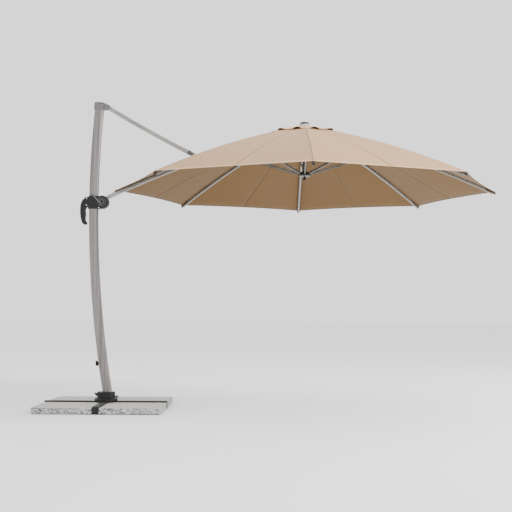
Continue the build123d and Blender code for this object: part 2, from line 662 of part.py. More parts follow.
for shell_name, kept_side in (("slider_shell_front", Keep.TOP), ("slider_shell_back", Keep.BOTTOM)):
    with BuildPart() as slider_shell:
        add(slider_body.part)
        split(bisect_by=Plane.XZ, keep=kept_side)
    slider_shell.part.label = shell_name
    export_step(slider_shell.part, f"parts/{shell_name}.step")

with BuildPart() as arm_hinge_pin:
    with Locations(slider_pivot):
        Cylinder(slider_pin_radius, 2 * cheek_outer, rotation=(90, 0, 0))
arm_hinge_pin.part.label = "arm_hinge_pin"
export_step(arm_hinge_pin.part, "parts/arm_hinge_pin.step")

with BuildPart() as slider_screws:
    for (screw_x, screw_z), reach in zip(screw_places, screw_reach):
        with Locations((screw_x, 0, screw_z)):
            Cylinder(screw_radius, 2 * reach, rotation=(90, 0, 0))
        for side in (-1, 1):
            with Locations((screw_x, side * (reach + 1.5), screw_z)):
                Cylinder(5.5, 3, rotation=(90, 0, 0))
slider_screws.part.label = "slider_screws"
export_step(slider_screws.part, "parts/slider_screws.step")

handle_half = 17
trigger_pin_x, trigger_pin_z = -209, 1708
with BuildPart() as handle:
    root_x = sleeve_left - sleeve_wall
    with BuildSketch(Plane.XZ) as handle_side:
        with BuildLine():
            back = Spline((root_x, 1822), (-205, 1817), (-233, 1789), (-247, 1735), (-247, 1680),
                          (-236, 1620), (-218, 1588), (-196, 1582), (-184, 1596))
            front = Spline((-184, 1600), (-196, 1616), (-201, 1640), (-198, 1668), (-200, 1702),
                           (-196, 1724), (root_x, 1740))
            Line(back @ 1, front @ 0)
            Line(front @ 1, back @ 0)
        make_face()
    extrude(amount=handle_half, both=True)
    long_edges = handle.edges().sort_by(SortBy.LENGTH)
    chamfer(long_edges[-2:], length=5)
    # Recess for the release trigger, with its pin left standing across it.
    with BuildSketch(Plane.XZ) as trigger_recess:
        with BuildLine():
            Polyline((-190, 1636), (-218, 1636), (-222, 1718), (-190, 1718), close=True)
        make_face()
    extrude(amount=8.4, both=True, mode=Mode.SUBTRACT)
    with Locations((trigger_pin_x, 0, trigger_pin_z)):
        Cylinder(trigger_pin_radius, 20, rotation=(90, 0, 0))
    for screw_x, screw_z in screw_places[:2]:
        with Locations((screw_x, 0, screw_z)):
            Cylinder(screw_radius, through, rotation=(90, 0, 0), mode=Mode.SUBTRACT)
handle.part.label = "handle"
export_step(handle.part, "parts/handle.step")

with BuildPart() as release_trigger:
    with BuildSketch(Plane.XZ) as trigger_side:
        with BuildLine():
            face = Spline((-200, 1712), (-195, 1694), (-193, 1668), (-197, 1642))
            Polyline(face @ 1, (-204, 1642), (-205, 1696), (trigger_pin_x - 5, trigger_pin_z - 2),
                     (trigger_pin_x - 3, trigger_pin_z + 4.5), face @ 0)
        make_face()
    extrude(amount=8, both=True)
    with Locations((trigger_pin_x, 0, trigger_pin_z)):
        Cylinder(trigger_pin_radius + running_gap, through, rotation=(90, 0, 0), mode=Mode.SUBTRACT)
release_trigger.part.label = "release_trigger"
export_step(release_trigger.part, "parts/release_trigger.step")

lever_front_y = -(cheek_outer + cover_thick + 0.4)
lever_tip = Vector(-143, 0, 1847)
lever_pivot = Vector(lever_x, 0, lever_z)
lever_plane = Plane(origin=lever_pivot + Vector(0, lever_front_y, 0), x_dir=lever_tip - lever_pivot,
                    z_dir=(0, -1, 0))
lever_length = (lever_tip - lever_pivot).length
with BuildPart() as clamp_lever:
    with BuildSketch(lever_plane) as lever_face:
        Circle(13)
        with BuildLine():
            Polyline((0, -9), (lever_length - 6, -6), (lever_length, -1), (lever_length + 3, 9),
                     (lever_length - 4, 12), (lever_length - 12, 6), (0, 9), close=True)
        make_face()
    extrude(amount=9)
    with BuildSketch(lever_plane) as lever_bore:
        Circle(lever_stud_radius + running_gap)
    extrude(amount=20, mode=Mode.SUBTRACT)
    fillet(clamp_lever.faces().sort_by(Axis.Y)[0].outer_wire().edges(), radius=1.5)
clamp_lever.part.label = "clamp_lever"
export_step(clamp_lever.part, "parts/clamp_lever.step")

# ================================================================ crown
crown_top, crown_bottom, crown_radius = 2440, 2405, 58
slot_start, rib_slot = 33, rib_breadth + 0.8
post_radius, post_top = 16.5, 2426
boss_top = 2466
with BuildPart() as crown_hub:
    with Locations((canopy_x, 0, (crown_top + crown_bottom) / 2)):
        Cylinder(crown_radius, crown_top - crown_bottom)
    chamfer(crown_hub.edges().filter_by(GeomType.CIRCLE), length=2)
    with Locations((canopy_x, 0, (crown_top + boss_top) / 2)):
        Cylinder(17, boss_top - crown_top)
    with Locations((canopy_x, 0, crown_top - 20)):
        with PolarLocations(slot_start + 30, rib_count):
            Box(60, rib_slot, 80, mode=Mode.SUBTRACT)
    with Locations((canopy_x, 0, crown_pivot_z)):
        with PolarLocations(crown_pivot_radius, rib_count):
            Cylinder(pin_radius, crown_pin_length, rotation=(90, 0, 0), mode=Mode.SUBTRACT)
    with Locations((canopy_x, 0, (crown_bottom + post_top + 2) / 2)):
        Cylinder(post_radius + 1, post_top + 2 - crown_bottom, mode=Mode.SUBTRACT)
crown_hub.part.label = "crown_hub"
export_step(crown_hub.part, "parts/crown_hub.step")

with BuildPart() as crown_pins:
    with Locations((canopy_x, 0, crown_pivot_z)):
        with PolarLocations(crown_pivot_radius, rib_count):
            Cylinder(pin_radius, crown_pin_length, rotation=(90, 0, 0))
crown_pins.part.label = "crown_pins"
export_step(crown_pins.part, "parts/crown_pins.step")

finial_top = 2496
dome_rim_r, dome_rim_z = 44, 2472
dome_height = finial_top - dome_rim_z
dome_radius = (dome_rim_r ** 2 + dome_height ** 2) / (2 * dome_height)
with BuildPart() as finial:
    with BuildSketch(Plane.XZ) as finial_section:
        with BuildLine():
            RadiusArc((0, finial_top), (dome_rim_r, dome_rim_z), -dome_radius)
            Polyline((dome_rim_r, dome_rim_z), (50, 2468), (53, 2460), (50, 2458.5),
                     (20, boss_top), (0, boss_top), (0, finial_top))
        make_face()
    revolve(axis=Axis.Z)
with BuildPart() as finial_placed:
    with Locations((canopy_x, 0, 0)):
        add(finial.part)
finial_placed.part.label = "finial"
export_step(finial_placed.part, "parts/finial.step")


# ================================================================ ribs, braces and fabric
rib_end_r, tip_depth = 1634, 13
with BuildPart() as rib_blank:
    with BuildSketch(canopy_section_plane(crown_pivot_radius + 2, rib_arc)) as rib_section:
        RectangleRounded(rib_depth, rib_breadth, 2)
    rib_sweep = canopy_turn(rib_end_r, rib_arc) - canopy_turn(crown_pivot_radius + 2, rib_arc)
    revolve(axis=canopy_axis, revolution_arc=rib_sweep)
    with BuildSketch(canopy_section_plane(crown_pivot_radius + 30, rib_arc)) as rib_hollow:
        RectangleRounded(rib_depth - 2 * rib_wall, rib_breadth - 2 * rib_wall, 1)
    hollow_sweep = canopy_turn(rib_end_r + 5, rib_arc) - canopy_turn(crown_pivot_radius + 30, rib_arc)
    revolve(axis=canopy_axis, revolution_arc=hollow_sweep, mode=Mode.SUBTRACT)
    with Locations((crown_pivot_radius, 0, crown_pivot_z)):
        Cylinder(rib_depth / 2 + 0.4, rib_breadth, rotation=(90, 0, 0))
        Cylinder(pin_radius + running_gap, 40, rotation=(90, 0, 0), mode=Mode.SUBTRACT)
    with Locations((joint_r, 0, joint_z)):
        Cylinder(rivet_radius + running_gap, 40, rotation=(90, 0, 0), mode=Mode.SUBTRACT)
with BuildPart() as rib_tip_blank:
    with BuildSketch(canopy_section_plane(rib_end_r + 0.3, rib_arc)) as tip_section:
        with Locations(((rib_depth - tip_depth) / 2, 0)):
            RectangleRounded(tip_depth, rib_breadth + 4, 4)
    extrude(amount=22)
    chamfer(rib_tip_blank.faces().sort_by(Axis.X)[-1].edges(), length=2)

for direction, azimuth in directions.items():
    if direction == "L":
        continue
    with BuildPart() as rib:
        with Locations(Location((canopy_x, 0, 0), (0, 0, azimuth))):
            add(rib_blank.part)
            add(rib_tip_blank.part)
    rib.part.label = f"rib_{direction}"
    export_step(rib.part, f"parts/rib_{direction}.step")


def brace_blank(cheek_gap, cheek_wall, fork_length):
    """Brace at azimuth 0: a flat bar from the runner's pivot to a fork around the rib."""
    start = Vector(crown_pivot_radius, 0, runner_pivot_z)
    end = Vector(joint_r, 0, joint_z)
    side_plane = Plane(origin=start, x_dir=end - start, z_dir=(0, -1, 0))
    cheek_mid = cheek_gap + cheek_wall / 2
    with BuildPart() as blank:
        with BuildSketch(side_plane) as bar_side:
            with Locations(((brace_length - fork_length) / 2, 0)):
                Rectangle(brace_length - fork_length, brace_depth)
            Circle(brace_depth / 2)
        extrude(amount=brace_breadth / 2, both=True)
        with BuildSketch(side_plane) as bridge_side:
            with Locations((brace_length - fork_length, 0)):
                Rectangle(24, brace_depth)
        extrude(amount=cheek_gap + cheek_wall, both=True)
        for side in (-1, 1):
            with BuildSketch(side_plane.offset(side * cheek_mid)) as cheek_side:
                with Locations((brace_length - fork_length / 2, 0)):
                    Rectangle(fork_length, brace_cheek_depth)
                with Locations((brace_length, 0)):
                    Circle(brace_cheek_depth / 2)
            extrude(amount=cheek_wall / 2, both=True)
        with Locations(start):
            Cylinder(pin_radius + running_gap, 40, rotation=(90, 0, 0), mode=Mode.SUBTRACT)
        with Locations(end):
            Cylinder(rivet_radius, 60, rotation=(90, 0, 0), mode=Mode.SUBTRACT)
    with BuildPart() as rivet:
        with Locations(end):
            Cylinder(rivet_radius, 2 * (cheek_gap + cheek_wall), rotation=(90, 0, 0))
        for side in (-1, 1):
            with Locations(end + Vector(0, side * (cheek_gap + cheek_wall + 1), 0)):
                Cylinder(5, 2, rotation=(90, 0, 0))
    return blank.part, rivet.part


rib_brace, rib_rivet = brace_blank(rib_breadth / 2 + 0.4, 3.2, 102)
arm_brace, arm_rivet = brace_blank(arm_breadth / 2 + 0.4, 3.6, 165)
for direction, azimuth in directions.items():
    with BuildPart() as brace:
        with Locations(Location((canopy_x, 0, 0), (0, 0, azimuth))):
            add(arm_brace if direction == "L" else rib_brace)
            add(arm_rivet if direction == "L" else rib_rivet)
    brace.part.label = f"brace_{direction}"
    export_step(brace.part, f"parts/brace_{direction}.step")

runner_top, runner_bottom, runner_radius = runner_pivot_z + 12, runner_pivot_z - 16, 54
cover_bottom, knob_bottom = runner_bottom - 7, 1979
with BuildPart() as runner_hub:
    with Locations((canopy_x, 0, (runner_top + runner_bottom) / 2)):
        Cylinder(runner_radius, runner_top - runner_bottom)
    chamfer(runner_hub.edges().filter_by(GeomType.CIRCLE), length=2)
    with Locations((canopy_x, 0, runner_pivot_z)):
        with PolarLocations(slot_start + 30, rib_count):
            Box(60, brace_breadth + 0.8, 80, mode=Mode.SUBTRACT)
        with PolarLocations(crown_pivot_radius, rib_count):
            Cylinder(pin_radius, runner_pin_length, rotation=(90, 0, 0), mode=Mode.SUBTRACT)
        Cylinder(post_radius, 80, mode=Mode.SUBTRACT)
runner_hub.part.label = "runner_hub"
export_step(runner_hub.part, "parts/runner_hub.step")

with BuildPart() as runner_pins:
    with Locations((canopy_x, 0, runner_pivot_z)):
        with PolarLocations(crown_pivot_radius, rib_count):
            Cylinder(pin_radius, runner_pin_length, rotation=(90, 0, 0))
runner_pins.part.label = "runner_pins"
export_step(runner_pins.part, "parts/runner_pins.step")

with BuildPart() as post_section:
    with BuildSketch(Plane.XZ) as post_outline:
        with BuildLine():
            Polyline((0, post_top), (post_radius - 1.5, post_top), (post_radius, post_top - 1.5),
                     (post_radius, runner_bottom), (runner_radius - 4, runner_bottom),
                     (runner_radius - 7, cover_bottom), (9, cover_bottom), (9, knob_bottom + 16),
                     (14, knob_bottom + 12), (14, knob_bottom + 4), (10, knob_bottom),
                     (0, knob_bottom), close=True)
        make_face()
    revolve(axis=Axis.Z)
with BuildPart() as centre_post:
    with Locations((canopy_x, 0, 0)):
        add(post_section.part)
centre_post.part.label = "centre_post"
export_step(centre_post.part, "parts/centre_post.step")

# Fabric: one piece to each rib, reaching half way to the ribs beside it. Between two ribs the
# cloth is pulled straight, so its height depends only on the distance along the panel's middle.
panel_direction = Vector(1, 0, 0).rotate(Axis.Z, half_sector)
panel_cos = cos(radians(half_sector))
seam_gap = 0.15
hem_chord = canopy_radius * sin(radians(half_sector))
hem_radius = (hem_chord ** 2 + hem_scallop ** 2) / (2 * hem_scallop)
hem_centre = panel_direction * (canopy_radius * panel_cos - hem_scallop + hem_radius)


def half_panel(r_from, r_to, lift):
    """Half of the panel beside the rib at azimuth 0, on its +Y side."""
    side = panel_direction.cross(Vector(0, 0, 1))
    seam_plane = Plane(origin=side * seam_gap, x_dir=panel_direction, z_dir=side)
    r_mid = (r_from + r_to) / 2
    with BuildPart() as half:
        with BuildSketch(seam_plane) as cloth_section:
            with BuildLine():
                top = ThreePointArc((r_from * panel_cos, canopy_z(r_from) + lift),
                                    (r_mid * panel_cos, canopy_z(r_mid) + lift),
                                    (r_to * panel_cos, canopy_z(r_to) + lift))
                low = ThreePointArc((r_to * panel_cos, canopy_z(r_to) + lift - fabric_thick),
                                    (r_mid * panel_cos, canopy_z(r_mid) + lift - fabric_thick),
                                    (r_from * panel_cos, canopy_z(r_from) + lift - fabric_thick))
                Line(top @ 1, low @ 0)
                Line(low @ 1, top @ 0)
            make_face()
        extrude(amount=800)
        split(bisect_by=Plane.XZ, keep=Keep.BOTTOM)
    return half.part


main_half = half_panel(vent_opening_radius, canopy_radius, 0)
vent_half = half_panel(22, vent_radius, vent_lift)
with BuildPart() as main_gore:
    add(main_half)
    with Locations((hem_centre.X, hem_centre.Y, 2000)):
        Cylinder(hem_radius, 1200, mode=Mode.SUBTRACT)
    mirror(about=Plane.XZ)
with BuildPart() as vent_gore:
    add(vent_half)
    mirror(about=Plane.XZ)
slot_r = canopy_x - elbow_x
for direction, azimuth in directions.items():
    with BuildPart() as gore:
        with Locations(Location((canopy_x, 0, 0), (0, 0, azimuth))):
            add(main_gore.part)
            add(vent_gore.part)
        if direction == "L":
            with Locations((elbow_x, 0, canopy_z(slot_r))):
                Box(90, 44, 60, mode=Mode.SUBTRACT)
    gore.part.label = f"gore_{direction}"
    export_step(gore.part, f"parts/gore_{direction}.step")
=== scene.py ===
import bpy
import bmesh
import json
import math
from mathutils import Matrix, Vector, noise


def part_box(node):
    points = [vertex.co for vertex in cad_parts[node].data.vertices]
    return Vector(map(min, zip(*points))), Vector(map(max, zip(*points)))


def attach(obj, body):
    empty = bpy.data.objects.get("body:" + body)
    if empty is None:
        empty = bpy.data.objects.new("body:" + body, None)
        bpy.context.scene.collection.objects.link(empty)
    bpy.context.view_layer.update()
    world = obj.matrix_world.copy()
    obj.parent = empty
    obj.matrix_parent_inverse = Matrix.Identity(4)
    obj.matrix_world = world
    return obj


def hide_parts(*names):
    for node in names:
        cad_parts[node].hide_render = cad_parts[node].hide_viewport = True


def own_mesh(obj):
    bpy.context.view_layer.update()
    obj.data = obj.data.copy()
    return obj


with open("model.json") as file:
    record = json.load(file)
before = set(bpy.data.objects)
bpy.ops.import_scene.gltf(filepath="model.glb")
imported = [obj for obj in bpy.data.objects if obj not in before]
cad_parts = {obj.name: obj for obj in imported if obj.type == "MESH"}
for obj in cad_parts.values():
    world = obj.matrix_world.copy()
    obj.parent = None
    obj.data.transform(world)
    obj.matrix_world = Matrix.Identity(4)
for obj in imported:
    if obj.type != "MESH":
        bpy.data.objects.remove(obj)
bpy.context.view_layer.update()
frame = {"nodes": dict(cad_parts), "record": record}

# Lengths are metres. The object stands on z = 0, +X runs along the arm, the camera looks along +Y.

# ---------------------------------------------------------------- camera, floor and light
LENS = 67.6
CAMERA_AT = Vector((1.3866, -8.3152, 0.8497))
YAW, PITCH, ROLL = math.radians(0.706), math.radians(3.212), math.radians(0.285)
SENSOR_WIDTH, CLIP_END = 36, 200
FLOOR_HALF, FLOOR_TONE, FLOOR_ROUGHNESS = 60, 0.93, 0.9
WORLD_STRENGTH, LIGHT_SIZE = 1.65, 3.0
KEY_AT, KEY_TARGET, KEY_POWER = (9.0, -2.5, 5.5), (1.4, 0, 1.8), 1300
FILL_AT, FILL_TARGET, FILL_POWER = (1.5, -8.5, 0.9), (0.8, 0, 1.4), 60


def make_camera():
    right = Vector((math.cos(YAW), math.sin(YAW), 0))
    ahead = Vector((-math.cos(PITCH) * math.sin(YAW), math.cos(PITCH) * math.cos(YAW), math.sin(PITCH)))
    up = right.cross(ahead)
    rolled_right = right * math.cos(ROLL) + up * math.sin(ROLL)
    rolled_up = up * math.cos(ROLL) - right * math.sin(ROLL)
    camera = bpy.data.objects.new("camera", bpy.data.cameras.new("camera"))
    camera.data.lens = LENS
    camera.data.sensor_width = SENSOR_WIDTH
    camera.data.clip_end = CLIP_END
    axes = (rolled_right, rolled_up, -ahead)
    bpy.context.scene.collection.objects.link(camera)
    rows = [[axes[c][r] for c in range(3)] + [CAMERA_AT[r]] for r in range(3)]
    camera.matrix_world = Matrix([*rows, [0, 0, 0, 1]])
    bpy.context.scene.camera = camera


def area_light(name, place, target, power):
    light = bpy.data.lights.new(name, "AREA")
    light.shape = "SQUARE"
    light.size = LIGHT_SIZE
    light.energy = power
    obj = bpy.data.objects.new(name, light)
    obj.location = place
    obj.rotation_euler = (Vector(target) - Vector(place)).to_track_quat("-Z", "Y").to_euler()
    bpy.context.scene.collection.objects.link(obj)


def make_stage():
    world = bpy.data.worlds.new("studio")
    world.use_nodes = True
    background = world.node_tree.nodes["Background"]
    background.inputs["Color"].default_value = (1, 1, 1, 1)
    background.inputs["Strength"].default_value = WORLD_STRENGTH
    bpy.context.scene.world = world
    mesh = bpy.data.meshes.new("floor")
    corners = [(x * FLOOR_HALF, y * FLOOR_HALF, 0) for x, y in ((-1, -1), (1, -1), (1, 1), (-1, 1))]
    mesh.from_pydata(corners, [], [(0, 1, 2, 3)])
    floor = bpy.data.objects.new("floor", mesh)
    bpy.context.scene.collection.objects.link(floor)
    pale = bpy.data.materials.new("floor_paint")
    pale.use_nodes = True
    shader = pale.node_tree.nodes["Principled BSDF"]
    shader.inputs["Base Color"].default_value = (FLOOR_TONE, FLOOR_TONE, FLOOR_TONE, 1)
    shader.inputs["Roughness"].default_value = FLOOR_ROUGHNESS
    mesh.materials.append(pale)
    area_light("key", KEY_AT, KEY_TARGET, KEY_POWER)
    area_light("low_fill", FILL_AT, FILL_TARGET, FILL_POWER)


# ---------------------------------------------------------------- material building
class Shade:
    """One node material, built from small helpers that each return a socket."""

    def __init__(self, name, colour, roughness=0.5, metallic=0.0):
        self.material = bpy.data.materials.new(name)
        self.material.use_nodes = True
        self.tree = self.material.node_tree
        self.shader = self.tree.nodes["Principled BSDF"]
        self.shader.inputs["Base Color"].default_value = (*colour, 1)
        self.shader.inputs["Roughness"].default_value = roughness
        self.shader.inputs["Metallic"].default_value = metallic
        self.object_coords = self.tree.nodes.new("ShaderNodeTexCoord").outputs["Object"]

    def node(self, kind, **settings):
        made = self.tree.nodes.new(kind)
        for name, value in settings.items():
            setattr(made, name, value)
        return made

    def put(self, socket, value):
        if isinstance(value, bpy.types.NodeSocket):
            self.tree.links.new(value, socket)
        else:
            socket.default_value = value

    def scaled(self, coords, scale):
        mapping = self.node("ShaderNodeMapping")
        self.put(mapping.inputs["Vector"], coords)
        mapping.inputs["Scale"].default_value = scale
        return mapping.outputs["Vector"]

    def noise(self, scale, detail=3, coords=None):
        tex = self.node("ShaderNodeTexNoise")
        self.put(tex.inputs["Vector"], coords or self.object_coords)
        tex.inputs["Scale"].default_value = scale
        tex.inputs["Detail"].default_value = detail
        return tex.outputs["Fac"]

    def voronoi(self, scale, output="Distance", coords=None):
        tex = self.node("ShaderNodeTexVoronoi", feature="F1")
        self.put(tex.inputs["Vector"], coords or self.object_coords)
        tex.inputs["Scale"].default_value = scale
        return tex.outputs[output]

    def wave(self, coords, scale, direction):
        tex = self.node("ShaderNodeTexWave", bands_direction=direction, wave_profile="SIN")
        self.put(tex.inputs["Vector"], coords)
        tex.inputs["Scale"].default_value = scale
        return tex.outputs["Fac"]

    def ramp(self, fac, stops):
        made = self.node("ShaderNodeValToRGB")
        elements = made.color_ramp.elements
        while len(elements) < len(stops):
            elements.new(0.5)
        for element, (place, colour) in zip(elements, stops):
            element.position = place
            element.color = (*colour, 1)
        self.put(made.inputs["Fac"], fac)
        return made.outputs["Color"]

    def map_range(self, value, low, high, to_low, to_high):
        made = self.node("ShaderNodeMapRange")
        self.put(made.inputs["Value"], value)
        for name, number in (("From Min", low), ("From Max", high), ("To Min", to_low), ("To Max", to_high)):
            made.inputs[name].default_value = number
        return made.outputs["Result"]

    def math(self, operation, a, b=0.0):
        made = self.node("ShaderNodeMath", operation=operation)
        self.put(made.inputs[0], a)
        self.put(made.inputs[1], b)
        return made.outputs[0]

    def mix(self, fac, a, b, blend="MIX"):
        made = self.node("ShaderNodeMix", data_type="RGBA", blend_type=blend)
        self.put(made.inputs["Factor"], fac)
        for socket, value in ((made.inputs[6], a), (made.inputs[7], b)):
            self.put(socket, value if isinstance(value, bpy.types.NodeSocket) else (*value, 1))
        return made.outputs[2]

    def bump(self, height, strength, distance, normal=None):
        made = self.node("ShaderNodeBump")
        made.inputs["Strength"].default_value = strength
        made.inputs["Distance"].default_value = distance
        self.put(made.inputs["Height"], height)
        if normal is not None:
            self.put(made.inputs["Normal"], normal)
        return made.outputs["Normal"]

    def finish(self, **inputs):
        for name, value in inputs.items():
            self.put(self.shader.inputs[name.replace("_", " ")], value)
        return self.material


def shade_of(colour, factor, lift=0.0):
    return [min(1, c * factor + lift) for c in colour]


def aluminium(name, colour, stretch):
    """Anodised aluminium with fine drawing lines; stretch scales the coordinates along the profile."""
    s = Shade(name, colour, 0.42, 0.85)
    lines = s.noise(60, 4, s.scaled(s.object_coords, stretch))
    patches = s.noise(2.2, 3)
    tone = s.mix(s.map_range(lines, 0.3, 0.7, 0, 1), shade_of(colour, 0.7), shade_of(colour, 1.3))
    tone = s.mix(s.map_range(patches, 0.3, 0.8, 0, 0.25), tone, shade_of(colour, 0.82))
    rough = s.map_range(lines, 0.2, 0.8, 0.34, 0.5)
    return s.finish(Base_Color=tone, Roughness=rough, Normal=s.bump(lines, 0.12, 0.0006))


def plastic(name, colour, roughness=0.48):
    """Moulded plastic: fine spark-eroded grain with faint scuffing."""
    s = Shade(name, colour, roughness)
    s.shader.inputs["Specular IOR Level"].default_value = 0.28
    grain = s.noise(900, 2)
    scuff = s.noise(14, 5)
    tone = s.mix(s.map_range(scuff, 0.45, 0.75, 0, 0.5), colour, shade_of(colour, 1.5, 0.004))
    rough = s.map_range(scuff, 0.3, 0.8, roughness - 0.06, roughness + 0.12)
    return s.finish(Base_Color=tone, Roughness=rough, Normal=s.bump(grain, 0.18, 0.0003))


def coated_steel(name, colour):
    """Powder-coated steel: orange-peel skin with a little pale dust."""
    s = Shade(name, colour, 0.5, 0.1)
    s.shader.inputs["Specular IOR Level"].default_value = 0.3
    peel = s.noise(320, 3)
    dust = s.noise(7, 5)
    tone = s.mix(s.map_range(dust, 0.5, 0.8, 0, 0.35), colour, (0.07, 0.065, 0.06))
    rough = s.map_range(dust, 0.3, 0.8, 0.42, 0.66)
    return s.finish(Base_Color=tone, Roughness=rough, Normal=s.bump(peel, 0.2, 0.0005))


def zinc(name):
    """Zinc plating with its fine spangle."""
    colour = (0.56, 0.56, 0.57)
    s = Shade(name, colour, 0.35, 0.95)
    spangle = s.voronoi(300, "Color")
    tone = s.mix(0.12, colour, spangle, "OVERLAY")
    return s.finish(Base_Color=tone, Normal=s.bump(s.noise(500, 2), 0.15, 0.0003))


# Pebbles to the metre, and their tones from darkest to palest with the share each stop stands at.
PEBBLES = 96
STONE_TONES = [(0.0, (0.018, 0.022, 0.026)), (0.25, (0.07, 0.085, 0.095)), (0.5, (0.22, 0.235, 0.235)),
               (0.72, (0.42, 0.405, 0.37)), (1.0, (0.78, 0.77, 0.74))]


def aggregate(name):
    """Exposed-aggregate concrete: small rounded stones in a mid-grey matrix, paler on top."""
    s = Shade(name, (0.6, 0.59, 0.57), 0.86)
    warped = s.node("ShaderNodeVectorMath", operation="ADD")
    s.put(warped.inputs[0], s.object_coords)
    shift = s.node("ShaderNodeTexNoise")
    shift.inputs["Scale"].default_value = 90
    s.put(shift.inputs["Vector"], s.object_coords)
    amount = s.node("ShaderNodeVectorMath", operation="SCALE")
    s.put(amount.inputs[0], shift.outputs["Color"])
    amount.inputs["Scale"].default_value = 0.005
    s.put(warped.inputs[1], amount.outputs[0])
    coords = warped.outputs[0]
    cell = s.voronoi(PEBBLES, "Color", coords)
    split = s.node("ShaderNodeSeparateColor")
    s.put(split.inputs[0], cell)
    stones = s.ramp(split.outputs[0], STONE_TONES)
    edge = s.voronoi(PEBBLES, "Distance", coords)
    matrix = s.mix(s.noise(240, 3), (0.30, 0.31, 0.31), (0.42, 0.425, 0.42))
    tone = s.mix(s.map_range(edge, 0.5, 0.62, 0, 1), stones, matrix)
    geometry = s.node("ShaderNodeNewGeometry")
    facing = s.node("ShaderNodeSeparateXYZ")
    s.put(facing.inputs[0], geometry.outputs["Normal"])
    topness = s.map_range(facing.outputs["Z"], 0.6, 0.95, 0, 0.5)
    tone = s.mix(topness, tone, (0.60, 0.575, 0.53))
    stain = s.noise(5, 5)
    tone = s.mix(s.map_range(stain, 0.5, 0.8, 0, 0.18), tone, (0.42, 0.39, 0.35))
    height = s.map_range(edge, 0.0, 0.6, 1, 0)
    return s.finish(Base_Color=tone, Normal=s.bump(height, 0.45, 0.003, s.bump(s.noise(700, 3), 0.3, 0.0008)))


# Scale of the wave textures that draw the weave's warp and weft.
WEAVE = 1 / (0.0011 * 3.2)


def canvas(name, warp_tone, weft_tone, translucent, seam_tone=None):
    """Plain-weave cloth on a UV map in metres, with slubs and a soft sheen; seam_tone adds seams and the
    panels' painted side light.
    """
    s = Shade(name, warp_tone, 0.85)
    uv = s.tree.nodes.new("ShaderNodeUVMap")
    uv.uv_map = "cloth"
    warp = s.wave(uv.outputs["UV"], WEAVE, "X")
    weft = s.wave(uv.outputs["UV"], WEAVE, "Y")
    weave = s.math("MULTIPLY", warp, weft)
    slub = s.noise(1, 4, s.scaled(uv.outputs["UV"], (30, 900, 1)))
    slub_across = s.noise(1, 4, s.scaled(uv.outputs["UV"], (900, 30, 1)))
    cloud = s.noise(1.3, 4)
    tone = s.mix(weave, warp_tone, weft_tone)
    tone = s.mix(s.map_range(slub, 0.35, 0.7, 0, 0.22), tone, shade_of(warp_tone, 0.8))
    tone = s.mix(s.map_range(slub_across, 0.35, 0.7, 0, 0.18), tone, shade_of(weft_tone, 1.12))
    tone = s.mix(s.map_range(cloud, 0.35, 0.75, 0, 0.16), tone, shade_of(warp_tone, 0.86))
    if seam_tone:
        # Painted light: each panel is darkened by how far it faces away from the key light.
        painted_side_light = s.node("ShaderNodeAttribute", attribute_name="painted_side_light").outputs["Fac"]
        tone = s.mix(painted_side_light, (0, 0, 0), tone)
        seam = s.node("ShaderNodeAttribute", attribute_name="seam").outputs["Fac"]
        tone = s.mix(seam, tone, seam_tone)
    height = s.math("ADD", s.math("MULTIPLY", warp, 0.5), s.math("MULTIPLY", weft, 0.5))
    bumped = s.bump(height, 0.2, 0.0003, s.bump(cloud, 0.1, 0.002))
    s.shader.inputs["Sheen Weight"].default_value = 0.12
    s.shader.inputs["Sheen Roughness"].default_value = 0.5
    s.finish(Base_Color=tone, Normal=bumped)
    through = s.node("ShaderNodeBsdfTranslucent")
    s.put(through.inputs["Color"], tone)
    s.put(through.inputs["Normal"], bumped)
    blend = s.node("ShaderNodeMixShader")
    blend.inputs["Fac"].default_value = translucent
    s.tree.links.new(s.shader.outputs[0], blend.inputs[1])
    s.tree.links.new(through.outputs[0], blend.inputs[2])
    out = [n for n in s.tree.nodes if n.type == "OUTPUT_MATERIAL"][0]
    s.tree.links.new(blend.outputs[0], out.inputs["Surface"])
    return s.material


def rib_finish(name, colour, tip_colour, tip_from, below=0.0):
    """Satin metal that turns to dark plastic beyond tip_from from the canopy axis, and lower than below."""
    s = Shade(name, colour, 0.42, 0.6)
    place = s.node("ShaderNodeSeparateXYZ")
    s.put(place.inputs[0], s.object_coords)
    across = s.math("SUBTRACT", place.outputs["X"], CANOPY_X)
    reach = s.math("SQRT", s.math("ADD", s.math("MULTIPLY", across, across),
                                  s.math("MULTIPLY", place.outputs["Y"], place.outputs["Y"])))
    outside = s.math("GREATER_THAN", reach, tip_from)
    tip = s.math("MAXIMUM", outside, s.math("LESS_THAN", place.outputs["Z"], below))
    peel = s.noise(400, 3)
    dust = s.noise(9, 4)
    tone = s.mix(s.map_range(dust, 0.4, 0.8, 0, 0.3), colour, shade_of(colour, 1.25))
    tone = s.mix(tip, tone, tip_colour)
    return s.finish(Base_Color=tone, Normal=s.bump(peel, 0.18, 0.0004))


# ---------------------------------------------------------------- canopy measures, from the frame
DIRECTIONS = {"R": 0, "BR": 45, "B": 90, "BL": 135, "L": 180, "FL": 225, "F": 270, "FR": 315}
finial_low, finial_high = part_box("finial")
CANOPY_X = (finial_low.x + finial_high.x) / 2
HEM_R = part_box("gore_R")[1].x - CANOPY_X
# Every rib's top lies on one arc, whose centre is ARC_R out from the canopy's axis and ARC_Z up.
ARC_R, ARC_Z, ARC_RADIUS = -2.3613, -6.8643, 9.6186
OPENING_R, VENT_R, CAP_R = 0.15, 0.318, 0.024
HALF = math.radians(22.5)
HEM_DIP = 0.028 / math.cos(HALF)
# The slot in the arm's cloth for the strut's fork and its bracket.
SLOT_X, SLOT_HALF_LENGTH, SLOT_HALF_WIDTH = 0.743, 0.045, 0.021
CLOTH = 0.0013
# A face of a sheet whose normal's z is under this is on its underside.
UNDERSIDE = -0.3
# The vent is tacked down at GAPS places round its rim and stands GAP_LIFT off the canopy between them.
GAPS, GAP_LIFT = 12, 0.015
FRONT = 270
